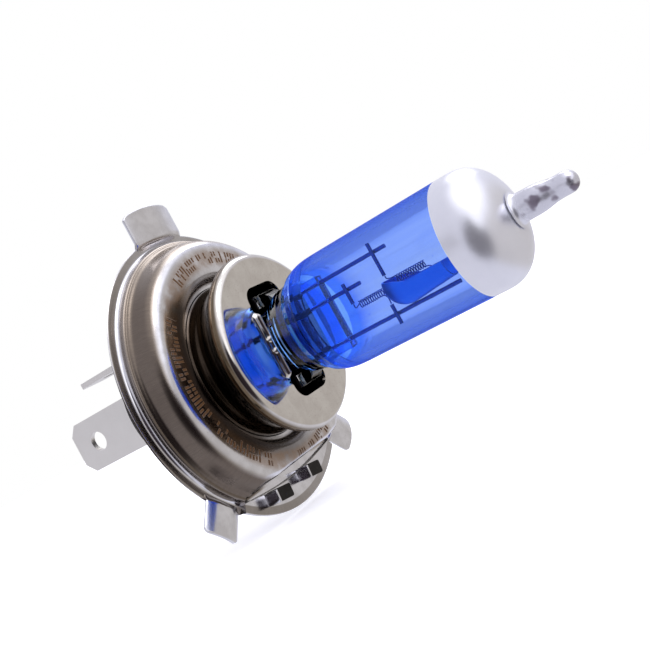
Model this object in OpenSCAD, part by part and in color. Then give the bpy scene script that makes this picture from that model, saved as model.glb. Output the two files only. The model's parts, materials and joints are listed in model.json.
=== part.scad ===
/* [Flange] */
// Outer radius of the flange rim
rim_r = 21.5; // [18:0.1:26]
// Thickness of the stamped flange sheet
sheet_t = 0.6; // [0.4:0.05:1]
// Height of the dome above the seating plane
dome_h = 5.3; // [4:0.1:7]
// Distance of the flat side of the dome from the axis, at its top
flat_side = 15.2; // [14.5:0.1:16]
// Distance of the flat side from the axis, at its foot
flat_foot = 16.1; // [16:0.1:16.6]
// Radius to the tip of the 12 o'clock lug
lug_top_r = 26.2; // [24:0.1:29]
// Width of the 12 o'clock lug
lug_top_w = 10.2; // [7:0.1:11]
// Radius to the tips of the two lower lugs
lug_low_r = 25.8; // [24:0.1:29]
// Width of the two lower lugs
lug_low_w = 5.7; // [4:0.1:8]
// Angle of the lower lugs from the 12 o'clock lug
lug_angle = 135; // [125:1:140]
// Height of the crest of each lug above its side edges
lug_bow = 0.7; // [0.4:0.1:1]
// Height of each lug's side edges above the seating plane
lug_rise = 0.4; // [0.2:0.1:0.5]
// Length of each slot in the flat segment
slot_l = 5.7; // [4:0.1:6.6]
// Width of each slot in the flat segment
slot_w = 1.9; // [1.5:0.1:2.3]
// Angle of the slots to the flat side
slot_turn = 8; // [0:0.5:10]
// Height of the tab bent up from each slot
slot_tab_h = 2.1; // [1:0.1:3]

/* [Cup] */
// Outer radius of the cup that holds the glass
cup_r = 13.05; // [12:0.05:14]
// Height of the cup face above the seating plane
cup_face_x = 11.6; // [10:0.1:13]
// Rounding of the cup's outer edge
cup_round = 1.07; // [0.6:0.01:1.6]
// Radius of the cup's waist
waist_r = 10.9; // [10.4:0.1:11.2]
// Radius of the hole in the flange that the cup is pushed into
neck_hole_r = 11.45; // [11:0.05:12]
// Thickness of the cup sheet
cup_t = 0.5; // [0.35:0.05:0.8]
// Half width of the opening in the cup face
opening_y = 4; // [3.4:0.1:5]
// Half length of the opening in the cup face
opening_z = 8.25; // [7.6:0.05:9]
// Height of the lip bent up along each long edge of the opening
lip_h = 0.75; // [0.4:0.05:1.4]

/* [Base] */
// Outer radius of the base sleeve
shell_r = 12.5; // [12:0.1:13]
// Distance of the sleeve's back edge behind the seating plane
shell_back = 9; // [8:0.1:11]
// Distance of the insulator's back face behind the seating plane
insulator_back = 11.2; // [10:0.1:14]
// Radius of the insulator's back boss
boss_r = 10.4; // [10.3:0.1:11.5]

/* [Terminals] */
// Distance of the terminal tips behind the seating plane
blade_end = 24.8; // [21:0.1:34.5]
// Width of a terminal blade
blade_w = 7.5; // [6.2:0.1:8.6]
// Thickness of a terminal blade
blade_t = 0.8; // [0.6:0.05:1]
// Distance of each blade's middle plane from the axis
blade_off = 8.45; // [7.8:0.05:8.8]
// Diameter of the hole in each blade
blade_hole_d = 2.9; // [2:0.1:3.4]
// Distance from the blade tip to the hole's centre
blade_hole_in = 4.6; // [3.5:0.1:7]

/* [Glass] */
// Outer radius of the glass tube
glass_r = 7.9; // [7.2:0.05:8.5]
// Wall thickness of the glass tube
glass_t = 1.1; // [0.8:0.05:1.4]
// Height where the tube starts to round into the dome
dome_x = 43.5; // [42:0.1:50]
// Length of the rounded dome
dome_l = 5.5; // [4.5:0.1:7]
// Height of the exhaust tip's end
tip_x = 57.2; // [56:0.1:60]
// Height where the blue coat starts
blue_x = 17.95; // [17.5:0.05:20]
// Height where the silver coat starts
silver_x = 41.9; // [38:0.1:43]
// Half thickness of the pinch's flat web
web_y = 1.6; // [1.3:0.1:2]
// Half thickness of the pinch's edge ribs
rib_y = 3; // [2.4:0.1:3.4]
// Half width of the pinch
pinch_z = 6.9; // [6.6:0.1:7.4]

/* [Burner] */
// Radius of each support post
post_r = 0.28; // [0.2:0.01:0.4]
// Height of the high-beam coil's first turn
high_x = 24.4; // [24.3:0.1:25]
// Length of the high-beam coil
high_l = 4; // [3.5:0.1:4.1]
// Height of the low-beam coil's first turn
low_x = 30.9; // [30.6:0.1:31.5]
// Length of the low-beam coil
low_l = 4.6; // [4:0.1:5.5]
// Outer radius of both coils
coil_r = 0.55; // [0.4:0.01:0.6]
// Number of turns in each coil
coil_turns = 14; // [8:1:16]
// Radius of the shield's rounded nose
shield_r = 3; // [2.6:0.05:3.2]
// Thickness of the shield sheet
shield_t = 0.22; // [0.15:0.01:0.4]

/* [Fits] */
// Gap left between two pieces that touch
fit = 0.02; // [0.01:0.01:0.05]
// Gap around the cup and the insulator where one slides into the other
slide_fit = 0.1; // [0.05:0.01:0.15]
// Thickness of the blue coat and of the silver coat
coat_t = 0.05; // [0.03:0.01:0.1]

/* [Hidden] */
$fn = 96;
shield_z = -0.95;
shield_x = 31.8;
shield_end = 38.5;
post_z = [4.2, 1.6, shield_z - shield_r - post_r - fit];
post_end = [31.7, 26, 38.6];
step_r = rim_r - 1.45;
bead_r = 0.22;
seg_x = 1;
seg_y = 12.2;
foil_x = [3.3, 9.3];
foil_w = 2.2;
foil_t = 0.1;
pin_r = 0.35;
pin_back = -2;
lead_r = 0.4;
sleeve_x = [14.9, 17.4];
sleeve_r = 0.42;
bridge_x = [17.9, 20.8];
bridge_y = 0.8;
bridge_z = [-5.4, 5.2];
cross_r = 0.25;
cross_y = -post_r - cross_r - fit;
wire_r = 0.09;
high_z = -0.9;
low_z = -0.25;
tail_w = 2.6;
tail_end = -3.6;
tip_r = 1.75;

// Points of an arc in a plane, from angle a to angle b
function arc(c, r, a, b, n = 6) =
  [for (i = [0:n]) c + r * [cos(a + (b - a) * i / n), sin(a + (b - a) * i / n)]];

// Unit normal at point i of a path
function side(p, i) =
  let (a = p[max(i - 1, 0)], b = p[min(i + 1, len(p) - 1)], d = b - a)
  [-d.y, d.x] / norm(d);

// Outline of a bent sheet of thickness t whose front follows the path p
function sheet(p, t) =
  concat(p, [for (i = [len(p) - 1:-1:0]) p[i] + t * side(p, i)]);

// Turned about the bulb axis: a 2-D point is [radius, height]
module turned() {
  rotate([0, 90, 0]) rotate_extrude() children();
}

// Round bar between two points
module bar(a, b, r) {
  d = b - a;
  translate(a)
    rotate([0, acos(d.z / norm(d)), atan2(d.y, d.x)])
      cylinder(h = norm(d), r = r);
}

// Bent wire through a list of points: each length runs a little past its bend
module wire(p, r) {
  last = len(p) - 2;
  for (i = [0:last]) {
    d = (p[i + 1] - p[i]) / norm(p[i + 1] - p[i]) * r * 0.7;
    bar(p[i] - (i > 0 ? d : 0 * d), p[i + 1] + (i < last ? d : 0 * d), r * (1 - 0.05 * (i % 2)));
  }
}

// Box from its two opposite corners
module block(a, b) {
  translate(a) cube(b - a);
}

// Disc or cylinder along the bulb axis
module rod(x0, x1, r, y = 0, z = 0) {
  translate([x0, y, z]) rotate([0, 90, 0]) cylinder(h = x1 - x0, r = r);
}

dome_front = concat(
  [[rim_r, 0], [step_r + 0.25, 0], [step_r - 0.05, 0.3], [step_r - 0.3, 1], [step_r - 0.6, 1.4],
    [step_r - 0.75, 1.9], [step_r - 1.05, 2.8]],
  arc([step_r - 3.2, dome_h - 2], 2, 15, 90, 7),
  arc([neck_hole_r + 2.1, dome_h - 1.2], 1.2, 90, 165, 6),
  [[neck_hole_r + 0.75, dome_h - 1.35], [neck_hole_r, dome_h - 1.5]]);

module dome_sheet() {
  turned() polygon(sheet(dome_front, sheet_t));
  turned() translate([step_r - 0.28, 1]) circle(bead_r);
}

// The dome filled down to the flat segment, used for the wall at its flat side
module dome_solid() {
  turned()
    polygon(concat([for (p = dome_front) if (p.y > seg_x && p.x > flat_side - 1) p],
      [[flat_side - 1, dome_h], [flat_side - 1, seg_x - sheet_t], [step_r - 0.6, seg_x - sheet_t]]));
}

// A lug is a bowed strip that rises from the rim, with a filled root under its bow
module lug(r, w, a) {
  q = (w * w / 4 + lug_bow * lug_bow) / (2 * lug_bow);
  crest = lug_rise + lug_bow;
  root = step_r + 0.3;
  rotate([-a, 0, 0])
    intersection() {
      translate([crest - q, 0, root])
        difference() {
          cylinder(h = r - root, r = q, $fn = 4 * $fn);
          translate([0, 0, rim_r - root - 0.1]) cylinder(h = r, r = q - sheet_t, $fn = 4 * $fn);
        }
      block([-sheet_t, -w / 2, 0], [2, w / 2, r]);
      rod(-sheet_t, 2, r);
    }
}

// Region outside the sloping flat side, between two heights of the wall's own slope
module beyond_flat(back, reach) {
  translate([0, reach, 0])
    rotate([90, 0, 0])
      linear_extrude(2 * reach)
        polygon([[dome_h + 1, back - flat_side], [dome_h, back - flat_side], [seg_x, back - flat_foot],
          [-1, back - flat_foot], [-1, -rim_r - 1], [dome_h + 1, -rim_r - 1]]);
}

// Places a slot, drawn around the origin, in the flat segment
module at_slot(s) {
  translate([0, s * 4.3, -flat_foot - 2.4]) rotate([-slot_turn, 0, 0]) children();
}

module flange_ring() {
  color("silver") {
    difference() {
      dome_sheet();
      beyond_flat(0, seg_y);
    }
    intersection() {
      dome_solid();
      difference() {
        beyond_flat(sheet_t, rim_r);
        beyond_flat(0, rim_r + 1);
      }
    }
    difference() {
      intersection() {
        rod(seg_x - sheet_t, seg_x, rim_r);
        block([0, -seg_y, -rim_r], [seg_x, seg_y, -flat_foot + sheet_t]);
      }
      for (s = [-1, 1])
        at_slot(s) block([-1, -slot_l / 2, -slot_w / 2], [2, slot_l / 2, slot_w / 2]);
    }
    intersection() {
      rod(-sheet_t, seg_x, rim_r);
      for (s = [-1, 1])
        translate([0, s * seg_y, 0])
          block([-sheet_t, -sheet_t / 2, -rim_r], [seg_x, sheet_t / 2, -flat_side]);
    }
    for (s = [-1, 1])
      at_slot(s)
        block([seg_x - sheet_t, -slot_l / 2 - 0.45, 0.05 - slot_w / 2],
          [seg_x + slot_tab_h, -slot_l / 2 + 0.01, slot_w / 2 - 0.05]);
    lug(lug_top_r, lug_top_w, 0);
    for (a = [lug_angle, -lug_angle]) lug(lug_low_r, lug_low_w, a);
  }
}

cup_path = concat(
  [[neck_hole_r - slide_fit, 2.4], [neck_hole_r - slide_fit, 4.2], [waist_r + 0.2, 4.9], [waist_r, 5.7],
    [waist_r, 6.6], [waist_r + 0.3, 7.6], [waist_r + 1, 8.5], [cup_r - 0.35, cup_face_x - 2.2]],
  arc([cup_r - cup_round, cup_face_x - cup_round], cup_round, 0, 90, 8),
  [[0, cup_face_x]]);

// Rounded rectangular hole along the bulb axis
module opening(x0, x1, y, z, r) {
  block([x0, -y + r, -z], [x1, y - r, z]);
  block([x0, -y, -z + r], [x1, y, z - r]);
  for (i = [-1, 1], j = [-1, 1]) rod(x0, x1, r, i * (y - r), j * (z - r));
}

module capsule_cup() {
  lip_z = opening_z - 3.35;
  color("lightgrey") {
    difference() {
      turned() polygon(sheet(cup_path, cup_t));
      opening(cup_face_x - 2, cup_face_x + 1, opening_y, opening_z, 2);
    }
    for (s = [-1, 1]) {
      y = s * (opening_y + 0.2);
      block([cup_face_x - cup_t, y - 0.2, -lip_z], [cup_face_x + lip_h, y + 0.2, lip_z]);
      for (z = [-0.9, 0.8])
        translate([cup_face_x + lip_h / 2, y + s * 0.1, z]) sphere(0.28);
    }
  }
}

module pinch_holder() {
  x = 7;
  ring_r = waist_r - cup_t - slide_fit;
  tongue_z = 4.1;
  y = web_y + 0.4;
  color("silver")
    difference() {
      union() {
        difference() {
          rod(x, x + 0.4, ring_r);
          block([x - 1, -rib_y - 0.3, -pinch_z - 0.3], [x + 1, rib_y + 0.3, pinch_z + 0.3]);
        }
        for (s = [-1, 1]) {
          block([x, min(s * y, s * (rib_y + 0.5)), -tongue_z], [x + 0.4, max(s * y, s * (rib_y + 0.5)), tongue_z]);
          block([x, min(s * y, s * (y + 0.4)), -tongue_z], [cup_face_x - 0.9, max(s * y, s * (y + 0.4)), tongue_z]);
          for (z = [-2, 2]) translate([cup_face_x - 1.9, s * (y + 0.1), z]) sphere(0.5);
        }
      }
      block([x - 1, -web_y - fit, -pinch_z], [cup_face_x, web_y + fit, pinch_z]);
    }
}

sleeve_path = [[boss_r + 0.5, -shell_back], [shell_r - 0.4, -shell_back], [shell_r, -shell_back + 0.4],
  [shell_r, 1.6], [shell_r + 0.7, 2.6], [shell_r + 1.4, 4.1], [flat_side - 0.7, 4.1]];

module base_sleeve() {
  color("grey") turned() polygon(sheet(sleeve_path, cup_t));
}

// Stands a flat shape, drawn as [height, width], in the plane of one terminal
module at_terminal(angle) {
  rotate([angle, 0, 0])
    translate([0, 0, blade_off - blade_t / 2])
      children();
}

module blade_shape() {
  c = 1.5;
  w = blade_w / 2;
  polygon([[-insulator_back + 2.6, -w], [-blade_end + c, -w], [-blade_end, -w + c], [-blade_end, w - c],
    [-blade_end + c, w], [-insulator_back + 2.6, w], [-insulator_back + 2.6, tail_w / 2],
    [tail_end, tail_w / 2], [tail_end, -tail_w / 2], [-insulator_back + 2.6, -tail_w / 2]]);
}

module terminal(angle) {
  color("lightgrey")
    at_terminal(angle)
      linear_extrude(blade_t)
        difference() {
          blade_shape();
          translate([-blade_end + blade_hole_in, 0]) circle(d = blade_hole_d);
        }
}

module terminal_low() {
  terminal(0);
}
module terminal_high() {
  terminal(90);
}
module terminal_common() {
  terminal(-90);
}

module insulator() {
  body_back = -shell_back + cup_t + 0.05;
  w = blade_w / 2 + slide_fit;
  color("black")
    difference() {
      union() {
        rod(-insulator_back, body_back + 0.5, boss_r);
        rod(body_back, -5, shell_r - cup_t - slide_fit);
      }
      for (a = [0, 90, -90])
        at_terminal(a) {
          block([-insulator_back - 1, -w, -fit], [-insulator_back + 2.6 + fit, w, blade_t + fit]);
          block([-insulator_back, -tail_w / 2 - fit, -fit], [-4, tail_w / 2 + fit, blade_t + fit]);
        }
      rod(-insulator_back - 1, -insulator_back + 1.2, 3.2);
    }
}

lead_off = blade_off - blade_t / 2 - lead_r - fit;

module lead(z, side_y, end) {
  color("silver")
    wire([[pin_back - fit, 0, z], [pin_back - 1, 0, z], [pin_back - 1.4, side_y, end], [-4.9, side_y, end]], lead_r);
}

module lead_low() {
  lead(post_z[0], 0, lead_off);
}
module lead_high() {
  lead(post_z[1], -lead_off, 0);
}
module lead_common() {
  lead(post_z[2], lead_off, 0);
}

// Points of the glass dome: a soft-cornered curve from the tube to the top
function dome(r, l, a1, n = 2.34) =
  [for (i = [0:12]) let (a = a1 * i / 12) [r * pow(cos(a), 2 / n), dome_x + l * pow(sin(a), 2 / n)]];

dome_top = dome_x + dome_l;
neck_out = [[0, 12.4], [4.2, 12.5], [5.5, 13.1], [6, 14.2], [6.2, 15.4], [glass_r - 1.3, blue_x - 1.15]];
body_out = [[glass_r - 0.65, blue_x], [glass_r - 0.27, blue_x + 1], [glass_r - 0.07, blue_x + 2],
  [glass_r, blue_x + 3.2]];
top_out = concat(dome(glass_r, dome_l, 78),
  [[tip_r + 0.25, dome_top + 0.1], [tip_r + 0.08, dome_top + 0.6], [tip_r + 0.04, dome_top + 2],
    [tip_r, dome_top + 3.2], [tip_r - 0.22, dome_top + 4.2], [tip_r - 0.38, dome_top + 5.1],
    [tip_r - 0.41, tip_x - 2.2]],
  arc([0, tip_x - 1.4], 1.4, 8, 90, 8));
glass_out = concat(neck_out, body_out, top_out);
glass_in = concat([[0, 13.6], [3.6, 13.7], [4.9, 14.2], [5.4, 15.2], [5.7, 16.2], [6.05, 17.4],
    [glass_r - glass_t - 0.3, blue_x + 0.9], [glass_r - glass_t, blue_x + 3]],
  dome(glass_r - glass_t, dome_l - glass_t + 0.1, 80), [[0.7, dome_top], [0.6, dome_top + 2.4], [0, dome_top + 3.4]]);

// Path moved out by d
function grown(p, d) = [for (i = [0:len(p) - 1]) p[i] - d * side(p, i)];

module pinch() {
  bend = 3.3;
  x = 11.2;
  rib_top = 11.9;
  block([0.5, -web_y, -pinch_z], [x, web_y, pinch_z]);
  block([0.5, -web_y, -pinch_z + bend], [x + bend, web_y, pinch_z - bend]);
  for (s = [-1, 1]) {
    translate([x, web_y, s * (pinch_z - bend)]) rotate([90, 0, 0]) cylinder(h = 2 * web_y, r = bend);
    block([0.5, -rib_y, min(s * 5.1, s * pinch_z)], [rib_top - 0.6, rib_y, max(s * 5.1, s * pinch_z)]);
    block([0.5, -rib_y + 0.6, min(s * 5.1, s * pinch_z)], [rib_top, rib_y - 0.6, max(s * 5.1, s * pinch_z)]);
    for (y = [-1, 1])
      translate([rib_top - 0.6, y * (rib_y - 0.6), min(s * 5.1, s * pinch_z)])
        cylinder(h = pinch_z - 5.1, r = 0.6);
  }
}

module glass_envelope() {
  color([0.85, 0.9, 1, 0.4])
    difference() {
      union() {
        turned() polygon(glass_out);
        pinch();
      }
      turned() polygon(glass_in);
      for (z = post_z) {
        rod(foil_x[1] - 1, 16, post_r + fit, 0, z);
        rod(-1, foil_x[0] + 1, pin_r + fit, 0, z);
        block([foil_x[0] - fit, -pin_r - foil_t - 2 * fit, z - foil_w / 2 - fit],
          [foil_x[1] + fit, -post_r, z + foil_w / 2 + fit]);
      }
    }
}

module blue_coat() {
  p = concat(body_out, [[glass_r, silver_x - fit]]);
  color([0.1, 0.3, 1, 0.5]) turned() polygon(sheet(grown(p, fit), -coat_t));
}

module silver_coat() {
  p = concat([[glass_r, silver_x]], top_out);
  color("white") turned() polygon(sheet(grown(p, fit), -coat_t));
}

module foil(z) {
  color("dimgrey")
    block([foil_x[0], -pin_r - foil_t - fit, z - foil_w / 2], [foil_x[1], -pin_r - fit, z + foil_w / 2]);
}

module pin(z) {
  color("silver") rod(pin_back, foil_x[0] + 1, pin_r, 0, z);
}
module post(z, x) {
  color("dimgrey") rod(foil_x[1] - 1 + fit, x, post_r, 0, z);
}

module root_sleeve(z) {
  color("black")
    difference() {
      rod(sleeve_x[0], sleeve_x[1], sleeve_r, 0, z);
      rod(sleeve_x[0] - 1, sleeve_x[1] + 1, post_r + fit, 0, z);
    }
}

module foil_low() {
  foil(post_z[0]);
}
module foil_high() {
  foil(post_z[1]);
}
module foil_common() {
  foil(post_z[2]);
}
module pin_low() {
  pin(post_z[0]);
}
module pin_high() {
  pin(post_z[1]);
}
module pin_common() {
  pin(post_z[2]);
}
module post_low() {
  post(post_z[0], post_end[0]);
}
module post_high() {
  post(post_z[1], post_end[1]);
}
module post_common() {
  post(post_z[2], post_end[2]);
}
module sleeve_low() {
  root_sleeve(post_z[0]);
}
module sleeve_high() {
  root_sleeve(post_z[1]);
}
module sleeve_common() {
  root_sleeve(post_z[2]);
}

module bridge() {
  color([0.8, 0.9, 1, 0.5])
    difference() {
      block([bridge_x[0], -bridge_y, bridge_z[0]], [bridge_x[1], bridge_y, bridge_z[1]]);
      for (z = post_z) rod(bridge_x[0] - 1, bridge_x[1] + 1, post_r + fit, 0, z);
    }
}

cross_low = [29.9, 0.85, 5.5];
cross_high = [23.9, -0.4, 2.5];
cross_common = [28.8, post_z[2] - 1.3, -2.8];

module crossbar(c) {
  color("dimgrey") bar([c[0], cross_y, c[1]], [c[0], cross_y, c[2]], cross_r);
}

module crossbar_low() {
  crossbar(cross_low);
}
module crossbar_high() {
  crossbar(cross_high);
}
module crossbar_common() {
  crossbar(cross_common);
}

// Close-wound coil of strip along the bulb axis
module coil(x, l, z) {
  thick = 0.16;
  span = 200;
  translate([x, 0, z])
    rotate([0, 90, 0])
      linear_extrude(height = l, twist = -360 * coil_turns, slices = coil_turns * 10, segments = 16, $fn = 8)
        polygon(concat(arc([0, 0], coil_r, 0, span, 7), arc([0, 0], coil_r - thick, span, 0, 7)));
}

module high_beam_coil() {
  x1 = high_x + high_l;
  color("dimgrey") {
    coil(high_x, high_l, high_z);
    wire([[cross_high[0], cross_y, cross_high[1] - fit], [cross_high[0], cross_y, high_z],
      [high_x + 0.15, -coil_r + wire_r, high_z]], wire_r);
    wire([[x1 - 0.15, 0, high_z - coil_r + wire_r], [cross_common[0], -0.3, high_z - coil_r - 0.4],
      [cross_common[0], cross_y, cross_common[2] + 0.4],
      [cross_common[0], cross_y, cross_common[2] + fit]], wire_r);
  }
}

module low_beam_coil() {
  x1 = low_x + low_l;
  weld_x = x1 + 0.9;
  color("dimgrey") {
    coil(low_x, low_l, low_z);
    wire([[cross_low[0], cross_y, cross_low[1] - fit], [cross_low[0], cross_y, low_z + coil_r],
      [low_x + 0.15, -0.1, low_z + coil_r - 0.1]], wire_r);
    wire([[x1 - 0.15, 0.05, low_z - coil_r + 0.1], [weld_x, 0.05, shield_z - 1],
      [weld_x, 0.05, shield_z - shield_inner(weld_x) + 0.05]], wire_r);
  }
}

function shield_outer(x) = shield_r - 0.6 * (x - shield_x) / (shield_end - shield_x);
function shield_inner(x) = shield_outer(x) - shield_t - 0.02;

module shield_body(t) {
  translate([shield_x, 0, shield_z]) {
    sphere(shield_r - t);
    rotate([0, 90, 0]) cylinder(h = shield_end - shield_x + t, r1 = shield_r - t, r2 = shield_r - 0.6 - t);
  }
}

// The shield's open side: level along its length, rising to a raised nose
module shield_mouth() {
  nose_x = shield_x - shield_r - 1;
  translate([0, shield_r + 1, 0])
    rotate([90, 0, 0])
      linear_extrude(2 * shield_r + 2)
        polygon([[nose_x, shield_z + 1.4], [shield_x - 0.4, shield_z + 0.7], [shield_x + 1.3, shield_z],
          [shield_end + 1, shield_z], [shield_end + 1, 5], [nose_x, 5]]);
}

module dip_shield() {
  color("grey")
    difference() {
      shield_body(0);
      shield_body(shield_t);
      shield_mouth();
    }
}

flange_ring();
capsule_cup();
pinch_holder();
base_sleeve();
insulator();
terminal_common();
terminal_high();
terminal_low();
lead_common();
lead_high();
lead_low();
glass_envelope();
blue_coat();
silver_coat();
foil_common();
foil_high();
foil_low();
pin_common();
pin_high();
pin_low();
post_common();
post_high();
post_low();
sleeve_common();
sleeve_high();
sleeve_low();
bridge();
crossbar_common();
crossbar_high();
crossbar_low();
high_beam_coil();
low_beam_coil();
dip_shield();
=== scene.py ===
"""A halogen headlight bulb with a blue coat and a silver end, on white paper in a small studio."""
import json
import math

import bmesh
import bpy
from mathutils import Matrix, Vector


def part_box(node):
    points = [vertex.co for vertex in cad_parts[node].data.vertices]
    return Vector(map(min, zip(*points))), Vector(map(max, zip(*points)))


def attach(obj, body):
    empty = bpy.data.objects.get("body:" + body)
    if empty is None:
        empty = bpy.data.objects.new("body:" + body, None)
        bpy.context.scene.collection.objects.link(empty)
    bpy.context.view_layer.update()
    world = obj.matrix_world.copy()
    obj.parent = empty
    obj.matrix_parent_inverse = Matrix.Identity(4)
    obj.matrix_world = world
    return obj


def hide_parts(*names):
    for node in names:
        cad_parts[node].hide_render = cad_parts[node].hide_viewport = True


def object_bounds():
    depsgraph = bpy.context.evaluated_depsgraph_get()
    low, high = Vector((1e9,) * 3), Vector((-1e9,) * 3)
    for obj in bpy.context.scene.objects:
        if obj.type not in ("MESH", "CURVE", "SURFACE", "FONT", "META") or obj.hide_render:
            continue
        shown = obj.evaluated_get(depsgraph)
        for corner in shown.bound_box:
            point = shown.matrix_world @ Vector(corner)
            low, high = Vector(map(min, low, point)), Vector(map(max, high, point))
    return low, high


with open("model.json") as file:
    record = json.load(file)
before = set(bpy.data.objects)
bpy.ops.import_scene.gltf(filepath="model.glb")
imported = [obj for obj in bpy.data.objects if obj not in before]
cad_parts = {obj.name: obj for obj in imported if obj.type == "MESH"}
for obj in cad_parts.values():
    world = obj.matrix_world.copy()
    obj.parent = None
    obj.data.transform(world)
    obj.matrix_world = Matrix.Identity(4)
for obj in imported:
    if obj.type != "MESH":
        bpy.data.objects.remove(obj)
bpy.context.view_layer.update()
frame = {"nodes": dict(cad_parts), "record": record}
MM = 0.001


# ---------------------------------------------------------------- finishes

class Value:
    """A number that varies over a surface. Python arithmetic on it adds Math nodes."""

    def __init__(self, finish, socket):
        self.finish = finish
        self.socket = socket

    def maths(self, operation, *others):
        return self.finish.node("Math", {"operation": operation}, dict(enumerate((self, *others))))

    def __add__(self, other):
        return self.maths("ADD", other)

    def __radd__(self, other):
        return self.maths("ADD", other)

    def __sub__(self, other):
        return self.maths("SUBTRACT", other)

    def __rsub__(self, other):
        return (self * -1).maths("ADD", other)

    def __mul__(self, other):
        return self.maths("MULTIPLY", other)

    def __truediv__(self, other):
        return self.maths("DIVIDE", other)

    def __pow__(self, other):
        return self.maths("POWER", other)

    def __gt__(self, other):
        return self.maths("GREATER_THAN", other)

    def __lt__(self, other):
        return self.maths("LESS_THAN", other)

    def ramp(self, low, high):
        """0 below low, 1 above high, and a soft step between."""
        settings = {"interpolation_type": "SMOOTHSTEP"}
        return self.finish.node("MapRange", settings, {"Value": self, "From Min": low, "From Max": high})

    def band(self, low, high, soft):
        """1 between low and high, with soft edges."""
        return self.ramp(low - soft, low + soft) * (1 - self.ramp(high - soft, high + soft))


class Finish:
    """A material, or the world's light, made of nodes. Lengths in it are millimetres."""

    def __init__(self, tree):
        self.tree = tree
        tree.nodes.clear()

    def node(self, kind, settings=None, values=None, out=0):
        """Adds a node: its settings first, then the values or links of its sockets."""
        n = self.tree.nodes.new("ShaderNode" + kind)
        for name, setting in (settings or {}).items():
            setattr(n, name, setting)
        for name, value in (values or {}).items():
            if isinstance(value, Value):
                self.tree.links.new(value.socket, n.inputs[name])
            else:
                n.inputs[name].default_value = value
        return Value(self, n.outputs[out])

    def place(self):
        """The point on the object, as x, y and z in millimetres."""
        point = self.node("TexCoord", out="Object")
        scaled = self.node("VectorMath", {"operation": "SCALE"}, {0: point, "Scale": 1 / MM})
        return scaled, *(self.node("SeparateXYZ", None, {0: scaled}, out=i) for i in range(3))

    def vector(self, x, y, z):
        return self.node("CombineXYZ", None, {0: x, 1: y, 2: z})

    def noise(self, at, scale, detail=3):
        values = {"Vector": at, "Scale": scale, "Detail": detail, "Roughness": 0.55}
        return self.node("TexNoise", None, values)

    def mix(self, share, a, b):
        """A colour between a and b."""
        a, b = ((*c, 1) if isinstance(c, tuple) else c for c in (a, b))
        values = {0: share, 6: a, 7: b}
        return self.node("Mix", {"data_type": "RGBA"}, values, out=2)

    def bump(self, height, strength, depth):
        """A normal that follows height; depth is in millimetres."""
        values = {"Height": height, "Strength": strength, "Distance": depth * MM}
        return self.node("Bump", None, values)

    def principled(self, **values):
        """A principled shader: base_color sets its Base Color, and so on."""
        named = {}
        for name, value in values.items():
            socket = name.replace("_", " ").title().replace("Ior", "IOR")
            named[socket] = (*value, 1) if isinstance(value, tuple) and len(value) == 3 else value
        return self.node("BsdfPrincipled", None, named)

    def show(self, shader, kind="OutputMaterial"):
        output = self.tree.nodes.new("ShaderNode" + kind)
        self.tree.links.new(shader.socket, output.inputs["Surface"])


def finish(name):
    material = bpy.data.materials.new(name)
    material.use_nodes = True
    return material, Finish(material.node_tree)


def around(f, y, z):
    """Distance from the bulb axis and the angle round it."""
    return (y * y + z * z) ** 0.5, f.node("Math", {"operation": "ARCTAN2"}, {0: y, 1: z})


# Tints of the steel, straw and brown; and for the painted dark reflection of its near side, dark brown and
# black
STRAW_STEEL, BROWN_STEEL = (0.50, 0.42, 0.345), (0.34, 0.28, 0.225)
SHOULDER_REFLECTED_DARK, SHOULDER_REFLECTED_BLACK = (0.105, 0.077, 0.056), (0.042, 0.030, 0.022)
# Where the finishes change, in millimetres: the flange's shoulder and rim, and the cup's edge
SHOULDER_R, SHOULDER_X = (17.7, 20.2), (0.6, 4.9)
EDGE_R = (20.35, 21.45)
ABOVE_FLAT_SIDE = (-16.6, -16.2)
CUP_EDGE = 11.35


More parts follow.
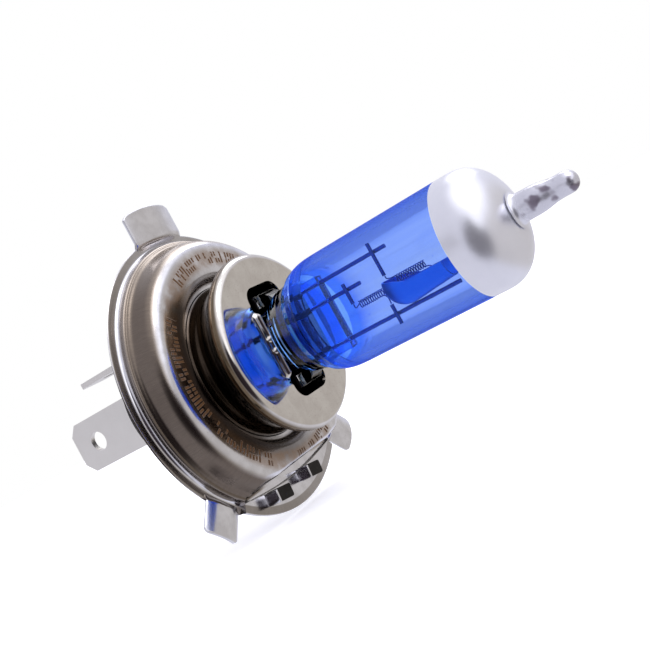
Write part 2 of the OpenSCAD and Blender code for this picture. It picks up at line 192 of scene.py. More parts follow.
def flange_steel():
    """Pressed steel with a drawn shoulder and etched marks.

    The dark brown and the black of its near side (-Y) are painted dark reflections that stand for dark
    surroundings.
    """
    material, f = finish("pressed_flange_steel")
    at, x, y, z = f.place()
    r, angle = around(f, y, z)
    drawn = f.noise(f.vector(angle * 150, r * 1.1, x * 0.6), 1.0, 3)
    rings = f.noise(f.vector(r * 9, x * 9, angle * 1.2), 1.0, 3)
    cloud = f.noise(at, 0.55, 4)
    specks = f.noise(at, 7.0, 2).ramp(0.64, 0.72)
    shoulder = r.band(*SHOULDER_R, 0.5) * x.band(*SHOULDER_X, 0.4) * z.ramp(*ABOVE_FLAT_SIDE)
    # Where painted dark reflection falls: the near side (-Y), which mirrors the dark room
    dark_reflection_side = ((y * -0.95 - z * 0.3) / r).ramp(-0.35, 0.55)
    rim = r.band(*EDGE_R, 0.1)
    colour = f.mix(cloud.ramp(0.3, 0.7), (0.78, 0.78, 0.83), (0.66, 0.655, 0.69))
    colour = f.mix(shoulder * 0.85, colour, f.mix(drawn, STRAW_STEEL, BROWN_STEEL))
    # Painted dark reflection on the shoulder's near side
    colour = f.mix(shoulder * dark_reflection_side * 0.78, colour, f.mix(drawn, SHOULDER_REFLECTED_DARK, SHOULDER_REFLECTED_BLACK))
    rim_tone = f.mix(drawn, (0.32, 0.285, 0.255), (0.20, 0.175, 0.155))
    # The rim's own darker tone, deepened on the near side by painted dark reflection
    colour = f.mix(rim * (0.45 + dark_reflection_side * 0.4), colour, rim_tone)
    # Painted dark reflection on the near side of the inner dome
    inner_dome_dark_reflection = dark_reflection_side * x.ramp(3.5, 4.2) * (1 - r.ramp(14.2, 17.2))
    colour = f.mix(inner_dome_dark_reflection * 0.75, colour, f.mix(drawn, (0.085, 0.06, 0.045), (0.03, 0.022, 0.018)))
    stain = r.band(14.1, 16.6, 0.5) * x.ramp(5.0, 5.2) * cloud.ramp(0.25, 0.6)
    colour = f.mix(stain * 0.5, colour, (0.33, 0.20, 0.11))
    colour = f.mix(specks * x.ramp(5.0, 5.25) * 0.5, colour, (0.18, 0.14, 0.12))
    mark = etched_marks(f, x, r, angle, at)
    colour = f.mix(mark, colour, (0.12, 0.055, 0.018))
    rough = 0.10 + shoulder * 0.12 + rings * 0.06 + cloud * 0.07 + mark * 0.4
    relief = rings * 0.35 + drawn * shoulder * 0.9 + f.noise(at, 5.0, 3) * 0.3 - mark * 0.8
    shader = f.principled(
        base_color=colour, metallic=1 - mark * 0.7, roughness=rough, normal=f.bump(relief, 0.30, 0.03))
    f.show(shader)
    return material


MARKS_PER_RADIAN = 27
MARK_FROM, MARK_TO = 14.45, 16.25


def etched_marks(f, x, r, angle, at):
    """Plain strokes of uneven height burnt into the dome, like the ticks of a scale."""
    cell = angle * MARKS_PER_RADIAN
    number = cell.maths("FLOOR")
    across = cell.maths("FRACT").band(0.18, 0.80, 0.08)
    chance = f.node("TexWhiteNoise", {"noise_dimensions": "1D"}, {"W": number})
    other = f.node("TexWhiteNoise", {"noise_dimensions": "1D"}, {"W": number + 71.5})
    inner = MARK_FROM + (chance < 0.33) * 0.85
    outer = MARK_TO - (chance > 0.78) * 0.8
    tall = (r - inner).ramp(-0.06, 0.06) * (outer - r).ramp(-0.06, 0.06)
    stroke = across * tall * (1 - (other > 0.7) * r.band(15.2, 15.5, 0.07))
    shown = (other > 0.09) * (angle * 3.0 + 0.6).maths("SINE").ramp(-0.86, -0.80)
    ragged = f.noise(at, 2.6, 4).ramp(0.30, 0.44)
    return stroke * shown * ragged * x.ramp(5.1, 5.2)


def cup_steel():
    """Spun steel: a clean face, and a wall with painted shade that darkens towards its waist."""
    material, f = finish("spun_cup_steel")
    at, x, y, z = f.place()
    r, angle = around(f, y, z)
    rings = f.noise(f.vector(r * 14, x * 14, angle * 0.8), 1.0, 3)
    drawn = f.noise(f.vector(angle * 120, x * 0.5, r * 0.5), 1.0, 3)
    cloud = f.noise(at, 0.4, 4)
    specks = f.noise(at, 4.5, 3).ramp(0.60, 0.68)
    face = x.ramp(CUP_EDGE, CUP_EDGE + 0.2)
    colour = f.mix(cloud.ramp(0.3, 0.7), (0.71, 0.685, 0.66), (0.62, 0.59, 0.565))
    # Painted shade on the wall under the face, darkest at the waist
    wall_painted_shade = f.mix(drawn, (0.20, 0.15, 0.095), (0.10, 0.075, 0.048))
    waist_painted_shade = f.mix(drawn, (0.15, 0.115, 0.085), (0.06, 0.046, 0.034))
    colour = f.mix(1 - x.ramp(10.7, CUP_EDGE), colour, wall_painted_shade)
    colour = f.mix(1 - x.ramp(7.2, 9.6), colour, waist_painted_shade)
    colour = f.mix(specks * face * 0.35, colour, (0.36, 0.33, 0.32))
    rough = 0.05 + drawn * 0.09 * (1 - face) + cloud * 0.05
    relief = (rings * 0.4 + drawn) * (1 - face) + f.noise(at, 1.6, 3) * 0.4
    shader = f.principled(
        base_color=colour, metallic=1.0, roughness=rough, normal=f.bump(relief, 0.14, 0.03))
    f.show(shader)
    return material


def bare_inside(name, light, dark):
    """The unpolished, oxidised inside of the pressed parts; in near-black colours it is painted shade."""
    material, f = finish(name)
    at = f.place()[0]
    scale = f.noise(at, 1.5, 4)
    f.show(f.principled(
        base_color=f.mix(scale, light, dark), metallic=0.8, roughness=0.35 + scale * 0.2,
        normal=f.bump(scale, 0.3, 0.03)))
    return material


def plain_metal(name, light, dark, rough, grain, along=(1, 1, 1)):
    """A metal with a cloudy tone, a directional grain and a fine tooth."""
    material, f = finish(name)
    at, x, y, z = f.place()
    brushed = f.noise(f.vector(x * along[0], y * along[1], z * along[2]), grain, 4)
    cloud = f.noise(at, 0.35, 3)
    colour = f.mix(cloud * 0.6 + brushed * 0.4, dark, light)
    shader = f.principled(
        base_color=colour, metallic=1.0, roughness=rough + brushed * 0.12,
        normal=f.bump(brushed, 0.2, 0.02))
    f.show(shader)
    return material


def moulded(name, light, dark, rough):
    """A moulded surface: a fine grain with flow clouds."""
    material, f = finish(name)
    at = f.place()[0]
    grain = f.noise(at, 6.0, 4)
    colour = f.mix(f.noise(at, 0.5, 3) * 0.7 + grain * 0.3, dark, light)
    shader = f.principled(
        base_color=colour, roughness=rough + grain * 0.15, normal=f.bump(grain, 0.35, 0.03))
    f.show(shader)
    return material


def clear_glass(name, tint, root):
    """Quartz, with painted blue light in its cavity's root, where the coat's blue gathers."""
    material, f = finish(name)
    at, x, y, z = f.place()
    r, angle = around(f, y, z)
    waves = f.noise(at, 0.5, 2)
    # Painted blue light: the root of the cavity takes the coat's blue
    inside = x.band(13.0, 21.5, 0.8) * (1 - r.ramp(6.6, 6.9))
    colour = f.mix(inside, f.mix(waves, tint, (1.0, 1.0, 1.0)), root)
    shader = f.principled(
        base_color=colour, roughness=waves * 0.01, ior=1.46, transmission_weight=1.0,
        normal=f.bump(waves, 0.12, 0.05))
    f.show(shader)
    return material


def blue_film():
    """The blue dip coat: a clear filter that deepens where it is seen edge on."""
    material, f = finish("blue_filter_coat")
    at, x, y, z = f.place()
    streak = f.noise(f.vector(x * 0.04, y, z), 0.8, 3)
    dots = f.noise(at, 2.2, 2).ramp(0.74, 0.78)
    edge = f.node("LayerWeight", None, {"Blend": 0.22}, out="Facing")
    pale = f.node("BsdfTransparent", None, {0: (0.52, 0.655, 1.0, 1)})
    deep = f.node("BsdfTransparent", None, {0: (0.03, 0.20, 1.0, 1)})
    near_root = 1 - x.ramp(19.5, 23.5)
    depth = edge * 0.9 + (streak - 0.5) * 0.35 + dots * 0.4 + near_root * 0.35
    body = f.node("MixShader", None, {0: depth, 1: pale, 2: deep})
    gloss = f.principled(base_color=f.mix(streak, (0.02, 0.08, 0.6), (0.05, 0.15, 0.9)), roughness=0.03)
    sheen = f.node("Fresnel", None, {"IOR": 1.30}) * 0.35
    f.show(f.node("MixShader", None, {0: sheen, 1: body, 2: gloss}))
    return material


def silver_paint():
    """Satin silver, with a smoother and spotted tip."""
    material, f = finish("silver_end_coat")
    at, x = f.place()[:2]
    cloud = f.noise(at, 0.3, 3)
    tip = x.ramp(49.2, 50.5)
    colour = f.mix(cloud, (0.79, 0.795, 0.865), (0.70, 0.705, 0.775))
    spots = f.noise(at, 0.42, 2).ramp(0.54, 0.68) * tip
    colour = f.mix(tip * 0.4, colour, (0.46, 0.45, 0.53))
    colour = f.mix(spots * 0.85, colour, (0.12, 0.09, 0.13))
    rough = 0.28 - tip * 0.06 + cloud * 0.05
    shader = f.principled(
        base_color=colour, metallic=0.8, roughness=rough, normal=f.bump(f.noise(at, 3.5, 3), 0.10, 0.03))
    f.show(shader)
    return material


FINISHES = {
    "flange": flange_steel(),
    "cup": cup_steel(),
    "spring": plain_metal("spring_steel", (0.42, 0.40, 0.38), (0.14, 0.13, 0.13), 0.14, 2.5),
    "sleeve": plain_metal(
        "plated_sleeve", (0.62, 0.61, 0.62), (0.44, 0.43, 0.43), 0.20, 4.0, along=(8, 1, 1)),
    "insulator": moulded("black_insulator", (0.030, 0.029, 0.032), (0.010, 0.010, 0.011), 0.36),
    "terminal": plain_metal(
        "nickel_terminal", (0.86, 0.84, 0.81), (0.74, 0.72, 0.69), 0.34, 3.0, along=(0.5, 6, 6)),
    "lead": plain_metal("lead_wire", (0.70, 0.66, 0.60), (0.45, 0.42, 0.38), 0.25, 4.0),
    "glass": clear_glass("quartz_glass", (0.99, 0.992, 1.0), (0.09, 0.34, 1.0)),
    "blue_coat": blue_film(),
    "silver_coat": silver_paint(),
    "molybdenum": plain_metal("molybdenum", (0.40, 0.39, 0.40), (0.20, 0.19, 0.21), 0.28, 3.0),
    # The post, tungsten, shield and quartz bridge colours are painted blue light: the coat's blue falling on
    # them, not their own colour
    "post": plain_metal(
        "support_post", (0.05, 0.10, 0.46), (0.012, 0.03, 0.20), 0.30, 3.0, along=(0.4, 3, 3)),
    "root_sleeve": moulded("root_sleeve", (0.03, 0.03, 0.05), (0.01, 0.01, 0.02), 0.5),
    "quartz": clear_glass("quartz_bridge", (0.12, 0.38, 1.0), (0.12, 0.38, 1.0)),
    "tungsten": plain_metal("tungsten_wire", (0.07, 0.13, 0.50), (0.02, 0.04, 0.24), 0.32, 5.0),
    "shield": plain_metal("dip_shield_sheet", (0.03, 0.30, 0.98), (0.015, 0.20, 0.85), 0.40, 2.0),
}
# The oxidised inside of the flange, and painted shade for the inside of the cup and the slots
INSIDE = bare_inside("oxidised_inside", (0.36, 0.34, 0.32), (0.19, 0.18, 0.17))
SHADE = bare_inside("shaded_inside", (0.030, 0.027, 0.025), (0.010, 0.009, 0.009))


# ---------------------------------------------------------------- shapes

def piece(name, verts, faces, slot, *nodes, smooth=35):
    """A mesh from points in millimetres that rides with the part and stands for its CAD nodes."""
    mesh = bpy.data.meshes.new(name)
    mesh.from_pydata([Vector(v) * MM for v in verts], [], faces)
    made = bpy.data.objects.new(name, mesh)
    bpy.context.scene.collection.objects.link(made)
    made.data.materials.append(FINISHES[slot])
    round_off(made, smooth)
    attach(made, "root")
    if nodes:
        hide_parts(*nodes)
    return made


def round_off(made, angle):
    """Smooth shading across every edge that is less sharp than angle."""
    bm = bmesh.new()
    bm.from_mesh(made.data)
    bmesh.ops.recalc_face_normals(bm, faces=bm.faces)
    for face in bm.faces:
        face.smooth = True
    for edge in bm.edges:
        edge.smooth = not edge.is_manifold or edge.calc_face_angle() < math.radians(angle)
    bm.to_mesh(made.data)
    bm.free()


def modify(made, kind, **settings):
    """Adds a modifier of the kind, with its settings."""
    modifier = made.modifiers.new(kind.lower(), kind)
    for name, value in settings.items():
        setattr(modifier, name, value)


def settle(made):
    """Applies the modifiers, so that the mesh is the shape that shows."""
    bpy.context.view_layer.update()
    shape = bpy.data.meshes.new_from_object(made.evaluated_get(bpy.context.evaluated_depsgraph_get()))
    made.modifiers.clear()
    made.data = shape


def flowing(points, steps):
    """A smooth line through the points: a Catmull-Rom curve."""
    line = []
    ends = [points[0], *points, points[-1]]
    for a, b, c, d in zip(ends, ends[1:], ends[2:], ends[3:]):
        for i in range(steps):
            t = i / steps
            line.append(tuple(
                0.5 * (2 * q + (s - p) * t + (2 * p - 5 * q + 4 * s - u) * t * t
                       + (3 * q - p - 3 * s + u) * t ** 3)
                for p, q, s, u in zip(a, b, c, d)))
    line.append(points[-1])
    return line


def rings(line, angles, shaped=None):
    """Points and faces of a surface turned about the bulb axis; line holds (height, radius).

    Where shaped is given, it gives the line at each angle.
    """
    verts = []
    for angle in angles:
        for x, r in (shaped(angle, line) if shaped else line):
            verts.append((x, r * math.sin(angle), r * math.cos(angle)))
    faces = []
    rows, turns = len(line), len(angles)
    for i in range(turns):
        for j in range(rows - 1):
            a, b = i * rows + j, (i + 1) % turns * rows + j
            faces.append((a, a + 1, b + 1, b))
    return verts, faces


def full_turn(count):
    """Evenly spaced angles round the axis."""
    return [2 * math.pi * i / count for i in range(count)]


def joined(*parts):
    """Several (points, faces) as one."""
    verts, faces = [], []
    for more_verts, more_faces in parts:
        faces += [tuple(i + len(verts) for i in face) for face in more_faces]
        verts += more_verts
    return verts, faces


def tube(line, radius, sides=8):
    """A round wire along a line of points in millimetres, with closed ends."""
    verts, faces = [], []
    up = None
    for i, point in enumerate(line):
        here = Vector(point)
        ahead = (Vector(line[min(i + 1, len(line) - 1)]) - Vector(line[max(i - 1, 0)])).normalized()
        up = ahead.orthogonal().normalized() if up is None else (up - ahead * up.dot(ahead)).normalized()
        across = ahead.cross(up)
        for k in range(sides):
            turn = 2 * math.pi * k / sides
            verts.append(tuple(here + radius * (up * math.cos(turn) + across * math.sin(turn))))
    for i in range(len(line) - 1):
        for k in range(sides):
            a, b = i * sides + k, i * sides + (k + 1) % sides
            faces.append((a, b, b + sides, a + sides))
    faces.append(tuple(range(sides)))
    faces.append(tuple(len(verts) - 1 - k for k in range(sides)))
    return verts, faces


def box_of(node):
    """Lowest and highest corners of a CAD node, in millimetres."""
    low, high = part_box(node)
    return Vector(low) / MM, Vector(high) / MM


# Which way each of a left and right pair lies along Y
SIDES = {"left": -1, "right": 1}


# ---------------------------------------------------------------- flange

FLANGE_TOP = box_of("flange_ring")[1]
RIM_R = FLANGE_TOP.y
DOME = FLANGE_TOP.x
SHEET = 0.45
FLAT_TOP = 15.2
FLAT_FOOT = 16.1
SEGMENT = 1.0
SEGMENT_HALF = math.radians(35.5)
LUG_SHEET = 0.5
# Each lug's clock angle in degrees, its width and the radius of its tip
LUGS = {"lug_top": (0, 10.2, 26.2), "lug_right": (135, 5.7, 25.8), "lug_left": (-135, 5.7, 25.8)}
SLOT_LONG, SLOT_WIDE, SLOT_CORNER = 5.7, 1.9, 0.35
SLOT_OFF, SLOT_BELOW = 4.3, 2.4
SLOT_TURN = math.radians(-8)
TAB_SHEET = 0.35


def flange_line():
    """The pressed sheet from its hole out to its rim, as (height, radius)."""
    inner = [(DOME - 1.55, 11.45), (DOME - 1.5, 11.9), (DOME - 1.3, 12.2), (DOME - 0.85, 12.42),
             (DOME - 0.35, 12.75), (DOME - 0.07, 13.3), (DOME, 14.1)]
    crest = [(DOME, 15.0), (DOME, 15.9), (DOME - 0.03, 16.9), (DOME - 0.22, 17.6), (DOME - 0.65, 18.2),
             (DOME - 1.3, 18.6), (DOME - 2.1, 18.83), (2.5, 19.0), (1.95, 19.18), (1.62, 19.45)]
    step = [(1.40, 19.62), (1.32, 19.80), (1.18, 19.97), (0.95, 20.03), (0.72, 19.98), (0.48, 20.0),
            (0.22, 20.12), (0.05, 20.35), (0, 20.7), (0, 21.1), (-0.03, RIM_R - 0.12), (-0.14, RIM_R)]
    return flowing([*inner, *crest, *step], 5)


def flat_sided(angle, line):
    """Pulls the dome in to its flat side near 6 o'clock, and holds the flat segment level there."""
    off = math.pi - abs((angle + math.pi) % (2 * math.pi) - math.pi)
    reach = 1 / max(math.cos(off), 0.2)
    neck, crest_from, foot_from = 13.3, 15.9, 19.5
    crest_to = min(crest_from, (FLAT_TOP - 0.75) * reach)
    foot_to = min(foot_from, FLAT_FOOT * reach)
    inside = off < SEGMENT_HALF
    shaped = []
    for x, r in line:
        if r <= neck:
            shaped.append((x, r))
        elif r <= crest_from:
            shaped.append((x, neck + (r - neck) * (crest_to - neck) / (crest_from - neck)))
        elif r <= foot_from:
            share = (r - crest_from) / (foot_from - crest_from)
            shaped.append((max(x, SEGMENT) if inside else x, crest_to + share * (foot_to - crest_to)))
        else:
            out = foot_to + (r - foot_from) / (RIM_R - foot_from) * (RIM_R - foot_to) if inside else r
            shaped.append((SEGMENT if inside else x, out))
    return shaped


def flange_angles():
    """A degree apart, with a tight pair at each end of the flat segment."""
    steps = [math.radians(a) for a in range(360)]
    for side in (-1, 1):
        for nudge in (-0.004, 0.004):
            steps.append((math.pi + side * SEGMENT_HALF + nudge) % (2 * math.pi))
    return sorted(steps)


def lug(angle, width, tip):
    """A bowed strip that rises out of the rim."""
    across, out = 22, 26
    root, rise, bow, corner = 20.25, 0.4, 0.7, 0.45
    a = math.radians(angle)
    verts = []
    for j in range(out + 1):
        for i in range(across + 1):
            s = 2 * i / across - 1
            y = s * width / 2
            end = math.sqrt(tip * tip - y * y) - corner * (max(0, abs(s) - 0.8) / 0.2) ** 2
            r = root + (end - root) * j / out
            lift = min(1, max(0, (r - root) / 1.3))
            lift = lift * lift * (3 - 2 * lift)
            x = lift * (rise + bow * (1 - s * s))
            verts.append((x, y * math.cos(a) + r * math.sin(a), r * math.cos(a) - y * math.sin(a)))
    row = across + 1
    faces = [(j * row + i, j * row + i + 1, (j + 1) * row + i + 1, (j + 1) * row + i)
             for j in range(out) for i in range(across)]
    return verts, faces


def on_segment(side, x, y, z):
    """The place on the flat segment of a point drawn round a slot's own middle."""
    return (x, side * SLOT_OFF + y * math.cos(SLOT_TURN) - z * math.sin(SLOT_TURN),
            -FLAT_FOOT - SLOT_BELOW + y * math.sin(SLOT_TURN) + z * math.cos(SLOT_TURN))


def rounded_outline(half_y, half_z, corner, steps):
    """A rectangle with round corners, each of them with the given number of steps."""
    outline = []
    for cy, cz, start in ((1, 1, 0), (-1, 1, 90), (-1, -1, 180), (1, -1, 270)):
        for k in range(steps + 1):
            a = math.radians(start + 90 * k / steps)
            outline.append((cy * (half_y - corner) + corner * math.cos(a),
                            cz * (half_z - corner) + corner * math.sin(a)))
    return outline


def slot_face(side):
    """A face of painted shade that stands for one slot; the segment under it isn't cut."""
    proud = 0.03
    outline = rounded_outline(SLOT_LONG / 2, SLOT_WIDE / 2, SLOT_CORNER, 4)
    verts = [on_segment(side, SEGMENT + proud, y, z) for y, z in outline]
    return verts, [tuple(range(len(verts)))]


def slot_tab(side):
    """The tongue left at one end of a slot, bent up with a small radius."""
    path = [(SEGMENT - 0.3, -0.9), (SEGMENT - 0.28, -0.5), (SEGMENT - 0.1, -0.2), (SEGMENT + 0.3, -0.08),
            (SEGMENT + 1.1, 0), (SEGMENT + 2.05, 0.03)]
    line = flowing(path, 4)
    across = (-0.88, -0.3, 0.3, 0.88)
    n = len(across)
    foot = -SLOT_LONG / 2 - 0.12
    verts = [on_segment(side, x, foot + along, z) for x, along in line for z in across]
    faces = [(j * n + i, j * n + i + 1, (j + 1) * n + i + 1, (j + 1) * n + i)
             for j in range(len(line) - 1) for i in range(n - 1)]
    return verts, faces


def face_forward(made):
    """Turns every face so that an open sheet faces up the bulb axis."""
    bm = bmesh.new()
    bm.from_mesh(made.data)
    total = sum((face.normal.x * face.calc_area() for face in bm.faces), 0.0)
    if total < 0:
        bmesh.ops.reverse_faces(bm, faces=bm.faces)
    bm.to_mesh(made.data)
    bm.free()


def make_flange():
    """The pressing with its lugs, its two tabs and painted shade for its slots."""
    surface = rings(flange_line(), flange_angles(), flat_sided)
    made = piece("flange_pressing", *surface, "flange", "flange_ring", smooth=50)
    face_forward(made)
    made.data.materials.append(INSIDE)
    modify(made, "SOLIDIFY", thickness=SHEET * MM, offset=-1, material_offset=1)
    settle(made)
    round_off(made, 50)
    for name, place_and_size in LUGS.items():
        strip = piece(name, *lug(*place_and_size), "flange")
        face_forward(strip)
        modify(strip, "SOLIDIFY", thickness=LUG_SHEET * MM, offset=-1)
        modify(strip, "BEVEL", width=0.07 * MM, segments=2, limit_method="ANGLE")
    for word, side in SIDES.items():
        tab = piece(f"slot_tab_{word}", *slot_tab(side), "flange")
        modify(tab, "SOLIDIFY", thickness=TAB_SHEET * MM, offset=0)
        modify(tab, "BEVEL", width=0.06 * MM, segments=2, limit_method="ANGLE")
    for word, side in SIDES.items():
        # Painted shade: a dark face where each slot is
        opening = piece(f"slot_painted_shade_{word}", *slot_face(side), "flange")
        opening.data.materials[0] = SHADE


# ---------------------------------------------------------------- cup

CUP_R = box_of("capsule_cup")[1].y
CUP_FACE = 11.6
CUP_SHEET = 0.45
CUP_ROUND = 1.07
WINDOW_Y, WINDOW_Z, WINDOW_CORNER = 4.0, 8.25, 2.0
LIP_HIGH, LIP_HALF, LIP_SHEET = 0.75, 4.9, 0.22


def cup_line():
    """The outside of the cup, from its open back to the middle of its face."""
    wall = flowing([(2.4, 11.35), (3.4, 11.35), (4.3, 11.33), (4.95, 11.12), (5.7, 10.9), (6.5, 10.93),
                    (7.5, 11.22), (8.5, 11.85), (9.4, CUP_R - 0.33), (10.0, CUP_R - 0.08)], 6)
    edge = [(CUP_FACE - CUP_ROUND + CUP_ROUND * math.sin(a), CUP_R - CUP_ROUND + CUP_ROUND * math.cos(a))
            for a in (math.radians(7.5 * k) for k in range(1, 13))]
    face = [(CUP_FACE, r) for r in (11.6, 10.5, 9.2, 7.8, 6.4, 5, 3.6, 2.2, 1, 0.02)]
    return [*wall, *edge, *face]


def window_punch():
    """The punch that cuts the cup's window."""
    outline = rounded_outline(WINDOW_Y, WINDOW_Z, WINDOW_CORNER, 8)
    n = len(outline)
    verts = [(x, y, z) for x in (CUP_FACE - 2, CUP_FACE + 2) for y, z in outline]
    faces = [tuple(range(n - 1, -1, -1)), tuple(range(n, 2 * n))]
    faces += [(k, (k + 1) % n, (k + 1) % n + n, k + n) for k in range(n)]
    mesh = bpy.data.meshes.new("window_punch")
    mesh.from_pydata([Vector(v) * MM for v in verts], [], faces)
    punch = bpy.data.objects.new("window_punch", mesh)
    bpy.context.scene.collection.objects.link(punch)
    return punch


def lip(side):
    """The upturned edge of the window: a bent strip with two weld dimples."""
    verts = []
    foot = CUP_FACE - 0.35
    dimples, dimple_high = (-0.9, 0.8), CUP_FACE + 0.42
    path = flowing([(foot, 0.75), (CUP_FACE + 0.02, 0.62), (CUP_FACE + 0.22, 0.35),
                    (CUP_FACE + 0.45, 0.16), (CUP_FACE + LIP_HIGH, 0.05)], 4)
    zs = [-LIP_HALF + 2 * LIP_HALF * k / 60 for k in range(61)]
    for x, off in path:
        for z in zs:
            taper = min(1, (LIP_HALF - abs(z)) / 0.7 + 0.25)
            dent = sum(0.30 * math.exp(-((z - c) ** 2 + (x - dimple_high) ** 2) / 0.07) for c in dimples)
            verts.append((foot + (x - foot) * taper, side * (WINDOW_Y + 0.02 + off + dent), z))
    row = len(zs)
    faces = [(j * row + i, j * row + i + 1, (j + 1) * row + i + 1, (j + 1) * row + i)
             for j in range(len(path) - 1) for i in range(row - 1)]
    return verts, faces


def make_cup():
    """The shell with its window cut through, and a lip on each side of it."""
    made = piece("cup_shell", *rings(cup_line(), full_turn(288)), "cup", "capsule_cup", smooth=50)
    face_forward(made)
    made.data.materials.append(SHADE)
    modify(made, "SOLIDIFY", thickness=CUP_SHEET * MM, offset=-1, material_offset=1)
    punch = window_punch()
    modify(made, "BOOLEAN", object=punch, operation="DIFFERENCE", solver="EXACT")
    settle(made)
    bpy.data.objects.remove(punch)
    round_off(made, 45)
    for word, side in SIDES.items():
        strip = piece(f"cup_lip_{word}", *lip(side), "cup", smooth=70)
        modify(strip, "SOLIDIFY", thickness=LIP_SHEET * MM, offset=0)


# ---------------------------------------------------------------- glass and coats

GLASS_R = box_of("glass_envelope")[1].y
SILVER_FROM = box_of("silver_coat")[0].x
BLUE_FROM = box_of("blue_coat")[0].x
TIP_END = box_of("silver_coat")[1].x
DOME_FROM = 43.5
DOME_LONG = 5.5
DOME_FULLNESS = 2.34


def coat_lines(grow):
    """The tube and the silver end as two lines that meet where the coats meet."""
    tube_line = flowing([(BLUE_FROM, 7.27), (18.4, 7.43), (19.0, 7.62), (19.9, 7.80), (21.0, 7.88),
                         (22.4, GLASS_R)], 4)
    tube_line += [(SILVER_FROM - 0.02, GLASS_R)]
    top = DOME_FROM + DOME_LONG
    end = [(SILVER_FROM, GLASS_R), (DOME_FROM - 0.4, GLASS_R)]
    for k in range(31):
        a = math.radians(79 * k / 30)
        end.append((DOME_FROM + DOME_LONG * math.sin(a) ** (2 / DOME_FULLNESS),
                    GLASS_R * math.cos(a) ** (2 / DOME_FULLNESS)))
    end += flowing([(top + 0.02, 2.4), (top + 0.2, 2.02), (top + 0.6, 1.84), (top + 1.4, 1.80),
                    (top + 2.4, 1.78), (top + 3.2, 1.72), (top + 4.0, 1.60), (top + 4.8, 1.44),
                    (top + 5.6, 1.37), (TIP_END - 2.2, 1.36), (TIP_END - 1.35, 1.36), (TIP_END - 0.75, 1.22),
                    (TIP_END - 0.3, 0.88), (TIP_END - 0.06, 0.42), (TIP_END, 0.03)], 5)
    return [(x, r + grow) for x, r in tube_line], [(min(x + grow, TIP_END), r + grow) for x, r in end]


def make_coats():
    blue, silver = coat_lines(0.03)
    piece("blue_coat_skin", *rings(blue, full_turn(256)), "blue_coat", "blue_coat", smooth=60)
    piece("silver_coat_skin", *rings(silver, full_turn(256)), "silver_coat", "silver_coat", smooth=60)


# ---------------------------------------------------------------- coils

COIL_R = 0.46
COIL_WIRE, LEG_WIRE = 0.075, 0.085


def make_coil(name, node, start, length, z, turns, legs):
    """A wound coil with its two legs."""
    line = []
    count = turns * 20
    for i in range(count + 1):
        a = 2 * math.pi * turns * i / count
        line.append((start + length * i / count, COIL_R * math.sin(a), z + COIL_R * math.cos(a)))
    parts = [tube(line, COIL_WIRE)] + [tube(flowing(leg, 5), LEG_WIRE) for leg in legs]
    piece(name, *joined(*parts), "tungsten", node, smooth=60)


def make_coils():
    make_coil("high_beam_winding", "high_beam_coil", 24.45, 3.9, -0.9, 11, [
        [(23.9, -0.5, -0.45), (23.9, -0.5, -0.95), (24.15, -0.45, -1.0), (24.6, -0.3, -0.75)],
        [(28.2, 0, -1.3), (28.55, -0.2, -1.55), (28.8, -0.4, -1.9), (28.8, -0.52, -2.7)]])
    make_coil("low_beam_winding", "low_beam_coil", 30.95, 4.5, -0.25, 12, [
        [(29.9, -0.5, 0.8), (29.95, -0.5, 0.4), (30.4, -0.3, 0.2), (31.1, -0.1, 0.15)],
        [(35.4, 0.05, -0.65), (36.0, 0.05, -0.9), (36.4, 0.05, -1.8), (36.4, 0.05, -3.3)]])


# ---------------------------------------------------------------- CAD pieces that stay

def dress_cad():
    """Materials for the CAD nodes that stay, with soft edges where the real ones are stamped or moulded."""
    slots = {row["node"]: row["material_slot"] for row in frame["record"]["subparts"]}
    for name, made in frame["nodes"].items():
        if made.hide_render:
            continue
        made.data.materials.clear()
        made.data.materials.append(FINISHES[slots[name]])
        if name.startswith("terminal") or name in ("insulator", "base_sleeve", "pinch_holder"):
            modify(made, "BEVEL", width=0.09 * MM, segments=3, limit_method="ANGLE",
                   angle_limit=math.radians(40))


# ---------------------------------------------------------------- studio

# Directions of the studio: its ceiling, the far wall, its left side, the dark patch round the lens,
# and the bright patch that the crest of the dome mirrors
UP = Vector((0.588, 0, 0.808))
AHEAD = Vector((-0.373, 0.887, 0.271))
LEFT = UP.cross(AHEAD)
TO_LENS = Vector((0.54, -0.78, -0.20))
CREST_WAY = Vector((0.84, -0.42, 0.34))


def studio_light():
    """The light that metal mirrors, all round the bulb.

    It has a bright ceiling, a dim warm left side, a grey right wall, and a dark and a bright patch.
    Seen directly or through glass it is plain white.
    """
    world = bpy.data.worlds.new("studio")
    bpy.context.scene.world = world
    world.use_nodes = True
    f = Finish(world.node_tree)
    way = f.node("TexCoord", out="Generated")

    def toward(direction):
        return f.node("VectorMath", {"operation": "DOT_PRODUCT"}, {0: way, 1: direction}, out="Value")

    up, left = toward(UP), toward(LEFT)
    ceiling = up.ramp(0.62, 0.86)
    above_table = up.ramp(-0.45, -0.25)
    front = toward(TO_LENS).ramp(0.68, 0.88)
    side = left.ramp(0.50, 0.85) * (1 - up.ramp(-0.25, 0.12)) * above_table
    right = (left * -1).ramp(0.40, 0.70) * (1 - ceiling) * above_table
    light = f.mix(ceiling, (0.80, 0.80, 0.88), (1.35, 1.35, 1.42))
    light = f.mix(right, light, (0.62, 0.59, 0.565))
    light = f.mix(side * 0.6, light, (0.105, 0.082, 0.066))
    light = f.mix(front * 0.98, light, (0.022, 0.012, 0.018))
    light = f.mix(toward(CREST_WAY).ramp(0.93, 0.985), light, (1.5, 1.5, 1.55))
    straight = f.node("LightPath", out="Is Camera Ray")
    seen = straight.maths("MAXIMUM", f.node("LightPath", out="Is Transmission Ray"))
    light = f.mix(seen, light, (1.0, 1.0, 1.0))
    f.show(f.node("Background", None, {"Color": light, "Strength": 1.0}), "OutputWorld")


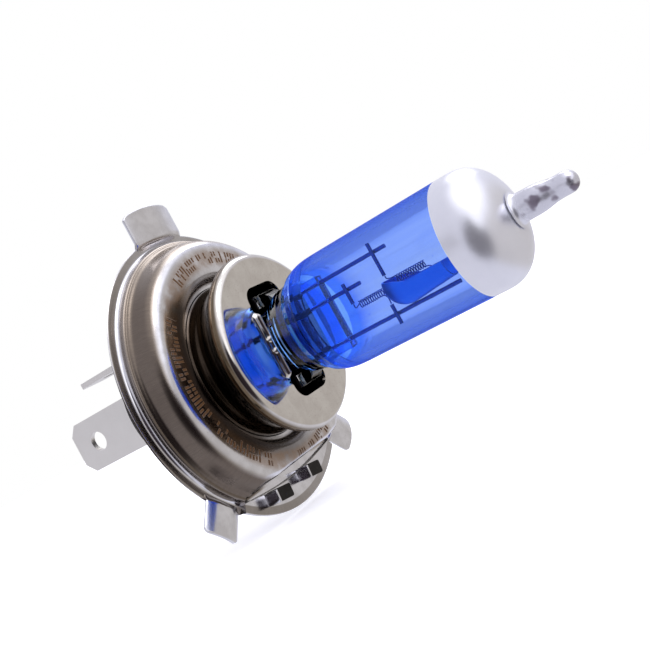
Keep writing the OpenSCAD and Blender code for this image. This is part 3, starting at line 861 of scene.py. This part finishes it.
def soft_box(name, way, distance, size, power):
    """A round lamp that faces the bulb."""
    lamp = bpy.data.lights.new(name, "AREA")
    lamp.shape = "DISK"
    lamp.size = size
    lamp.energy = power
    made = bpy.data.objects.new(name, lamp)
    made.location = Vector(way).normalized() * distance
    made.rotation_euler = (made.location * -1).to_track_quat("-Z", "Y").to_euler()
    bpy.context.scene.collection.objects.link(made)


def white_paper():
    """Pale paper, left out of mirror reflections, so that metal mirrors the studio's light alone."""
    material, f = finish("white_paper")
    at = f.place()[0]
    fibre = f.noise(at, 0.6, 3)
    colour = f.mix(fibre, (0.90, 0.90, 0.93), (0.93, 0.93, 0.95))
    glow = f.mix(f.node("LightPath", out="Is Camera Ray"), (0.0, 0.0, 0.0), (0.50, 0.50, 0.53))
    paper = f.principled(
        base_color=colour, roughness=0.9, normal=f.bump(fibre, 0.05, 0.05),
        emission_color=glow, emission_strength=1.0)
    clear = f.node("BsdfTransparent")
    f.show(f.node("MixShader", None, {0: f.node("LightPath", out="Is Glossy Ray"), 1: paper, 2: clear}))
    return material


FLOOR_HALF = 1.5
FLOOR_GAP = 0.0005


def make_studio():
    studio_light()
    soft_box("overhead", UP, distance=0.45, size=0.30, power=0.55)
    soft_box("behind", AHEAD * 0.8 + UP * 0.7, distance=0.55, size=0.35, power=0.5)
    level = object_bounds()[0][2] - FLOOR_GAP
    mesh = bpy.data.meshes.new("floor")
    corners = [(x * FLOOR_HALF, y * FLOOR_HALF, level) for x, y in ((-1, -1), (1, -1), (1, 1), (-1, 1))]
    mesh.from_pydata(corners, [], [(0, 1, 2, 3)])
    mesh.materials.append(white_paper())
    floor = bpy.data.objects.new("floor", mesh)
    bpy.context.scene.collection.objects.link(floor)


def make_camera():
    """A long lens a hand's breadth and a half away, with the bulb's axis rising to the right."""
    azimuth, elevation, roll = (math.radians(a) for a in (31.10, -2.62, -28.96))
    along = math.cos(elevation)
    back = Vector((math.sin(azimuth) * along, -math.cos(azimuth) * along, math.sin(elevation)))
    level = Vector((0, 0, 1)).cross(back).normalized()
    rise = back.cross(level)
    right = level * math.cos(roll) + rise * math.sin(roll)
    up = rise * math.cos(roll) - level * math.sin(roll)
    camera = bpy.data.cameras.new("camera")
    camera.lens = 55.93
    camera.shift_x = 0.0162
    camera.shift_y = -0.0868
    camera.clip_start = 0.005
    made = bpy.data.objects.new("camera", camera)
    turn = Matrix((right, up, back)).transposed().to_4x4()
    made.matrix_world = Matrix.Translation(Vector((0.08983, -0.11447, 0.00006))) @ turn
    bpy.context.scene.collection.objects.link(made)
    bpy.context.scene.camera = made


make_camera()
make_flange()
make_cup()
make_coats()
make_coils()
dress_cad()
make_studio()
bpy.context.scene.view_settings.view_transform = "Standard"
